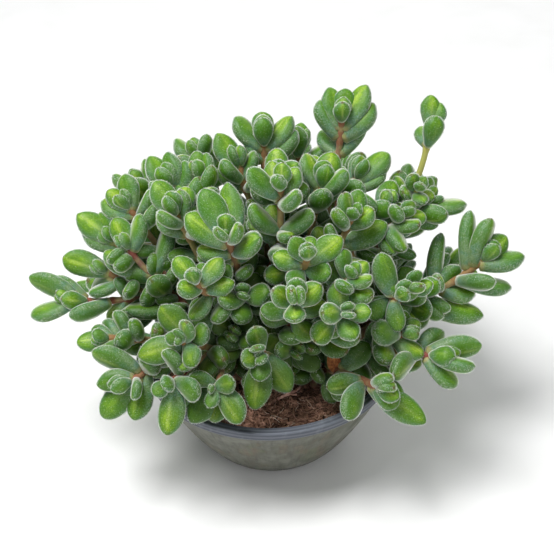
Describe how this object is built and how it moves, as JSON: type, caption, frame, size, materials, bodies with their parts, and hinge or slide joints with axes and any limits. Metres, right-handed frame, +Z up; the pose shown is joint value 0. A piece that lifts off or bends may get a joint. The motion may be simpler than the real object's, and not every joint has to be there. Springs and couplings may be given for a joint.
{
  "type": "potted crassula",
  "caption": "Bushy velvet-leaved crassula in a shallow plastic bowl pot filled with coir compost.",
  "frame": {"origin": "middle of the pot's flat base, at the height it stands on", "axes": "+Z up along the pot's axis, -Y towards the front that the picture shows, +X to the viewer's right"},
  "size_m": [0.3005, 0.2321, 0.2189],
  "materials": {
    "pot": "satin, dusty",
    "soil": "fibrous coir, matt",
    "crown": "velvety leaf with short white hairs",
    "far_10": "velvety leaf with short white hairs",
    "far_11": "velvety leaf with short white hairs",
    "far_12": "velvety leaf with short white hairs",
    "far_13": "velvety leaf with short white hairs",
    "far_14": "velvety leaf with short white hairs",
    "far_2": "velvety leaf with short white hairs",
    "far_6": "velvety leaf with short white hairs",
    "far_8": "velvety leaf with short white hairs",
    "far_9": "velvety leaf with short white hairs",
    "inner_left": "velvety leaf with short white hairs",
    "left_bright": "velvety leaf with short white hairs",
    "left_high": "velvety leaf with short white hairs",
    "left_inner": "velvety leaf with short white hairs",
    "left_long": "velvety leaf with short white hairs",
    "left_low": "velvety leaf with short white hairs",
    "left_mid": "velvety leaf with short white hairs",
    "left_stem": "velvety leaf with short white hairs",
    "low_centre": "velvety leaf with short white hairs",
    "low_pale": "velvety leaf with short white hairs",
    "low_right": "velvety leaf with short white hairs",
    "right_arm": "velvety leaf with short white hairs",
    "right_cluster": "velvety leaf with short white hairs",
    "right_high": "velvety leaf with short white hairs",
    "right_long": "velvety leaf with short white hairs",
    "right_small": "velvety leaf with short white hairs",
    "rosette": "velvety leaf with short white hairs",
    "shoulder": "velvety leaf with short white hairs",
    "sprig": "velvety leaf with short white hairs",
    "top_centre": "velvety leaf with short white hairs",
    "top_right": "velvety leaf with short white hairs",
    "upright": "velvety leaf with short white hairs"
  },
  "bodies": {
    "root": {"crown": "crown", "far_10": "far_10", "far_11": "far_11", "far_12": "far_12", "far_13": "far_13", "far_14": "far_14", "far_2": "far_2", "far_6": "far_6", "far_8": "far_8", "far_9": "far_9", "inner_left": "inner_left", "left_bright": "left_bright", "left_high": "left_high", "left_inner": "left_inner", "left_long": "left_long", "left_low": "left_low", "left_mid": "left_mid", "left_stem": "left_stem", "low_centre": "low_centre", "low_pale": "low_pale", "low_right": "low_right", "pot": "pot", "right_arm": "right_arm", "right_cluster": "right_cluster", "right_high": "right_high", "right_long": "right_long", "right_small": "right_small", "rosette": "rosette", "shoulder": "shoulder", "soil": "soil", "sprig": "sprig", "top_centre": "top_centre", "top_right": "top_right", "upright": "upright"}
  },
  "joints": []
}
